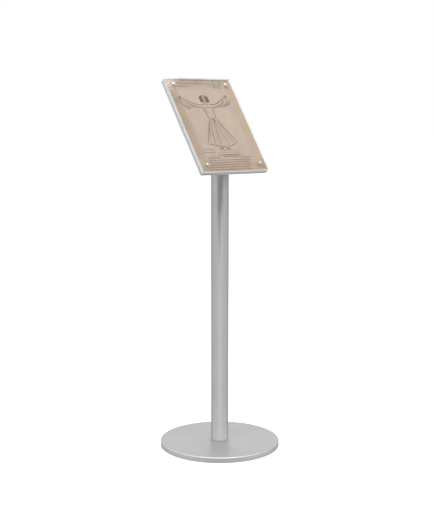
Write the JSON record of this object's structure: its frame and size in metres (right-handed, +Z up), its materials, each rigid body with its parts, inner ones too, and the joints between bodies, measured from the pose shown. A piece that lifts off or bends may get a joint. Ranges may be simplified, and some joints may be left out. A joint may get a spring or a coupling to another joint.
{
  "type": "sign stand",
  "caption": "Free-standing sign stand: round weighted base, plain round post and a sloping portrait sign panel under a screwed clear cover.",
  "frame": {"origin": "centre of the base on the floor", "axes": "+Z up along the post, the panel faces -Y and up, its bottom edge runs along X"},
  "size_m": [0.35, 0.35, 1.0745],
  "materials": {
    "satin_steel": "satin brushed stainless",
    "zinc_steel": "bright zinc",
    "weight_paint": "black powder coat",
    "raw_aluminium": "fine satin anodised",
    "rubber": "matte",
    "print": "matte print on an aged-paper ground",
    "clear_acrylic": "clear, polished edges",
    "nylon": "natural nylon",
    "chrome": "polished"
  },
  "bodies": {
    "stand": {"base_weight": "weight_paint", "base_cover": "satin_steel", "base_screw": "zinc_steel", "base_washer": "zinc_steel", "dowel_pins": "zinc_steel", "post_gasket": "rubber", "post_tube": "satin_steel", "foot_plug": "zinc_steel", "head_plug": "raw_aluminium", "set_screw": "zinc_steel", "mount_plate": "satin_steel", "plug_screws": "zinc_steel", "mount_screws": "zinc_steel", "back_pan": "raw_aluminium", "bar_left": "zinc_steel", "bar_right": "zinc_steel", "rear_cover": "raw_aluminium", "rear_screws": "zinc_steel", "foot_1": "rubber", "foot_2": "rubber", "foot_3": "rubber", "foot_4": "rubber", "foot_5": "rubber", "foot_6": "rubber", "corner_block_1": "raw_aluminium", "corner_block_2": "raw_aluminium", "corner_block_3": "raw_aluminium", "corner_block_4": "raw_aluminium"},
    "cover_set": {"cover": "clear_acrylic", "corner_washer_1": "nylon", "corner_washer_2": "nylon", "corner_washer_3": "nylon", "corner_washer_4": "nylon"},
    "print": {"print_sheet": "print"},
    "screw_1": {"corner_screw_1": "chrome"},
    "screw_2": {"corner_screw_2": "chrome"},
    "screw_3": {"corner_screw_3": "chrome"},
    "screw_4": {"corner_screw_4": "chrome"}
  },
  "joints": [
    {"name": "cover_lift", "type": "slide", "parent": "stand", "child": "cover_set", "axis": [0, -0.7986, 0.6018], "range_m": [0, 0.08]},
    {"name": "print_lift", "type": "slide", "parent": "stand", "child": "print", "axis": [0, -0.7986, 0.6018], "range_m": [0, 0.04]},
    {"name": "screw_1_out", "type": "slide", "parent": "cover_set", "child": "screw_1", "axis": [0, -0.7986, 0.6018], "range_m": [0, 0.03]},
    {"name": "screw_2_out", "type": "slide", "parent": "cover_set", "child": "screw_2", "axis": [0, -0.7986, 0.6018], "range_m": [0, 0.03]},
    {"name": "screw_3_out", "type": "slide", "parent": "cover_set", "child": "screw_3", "axis": [0, -0.7986, 0.6018], "range_m": [0, 0.03]},
    {"name": "screw_4_out", "type": "slide", "parent": "cover_set", "child": "screw_4", "axis": [0, -0.7986, 0.6018], "range_m": [0, 0.03]}
  ],
  "couplings": [
    {"joint": "print_lift", "follows": "cover_lift", "ratio": 0.5}
  ]
}
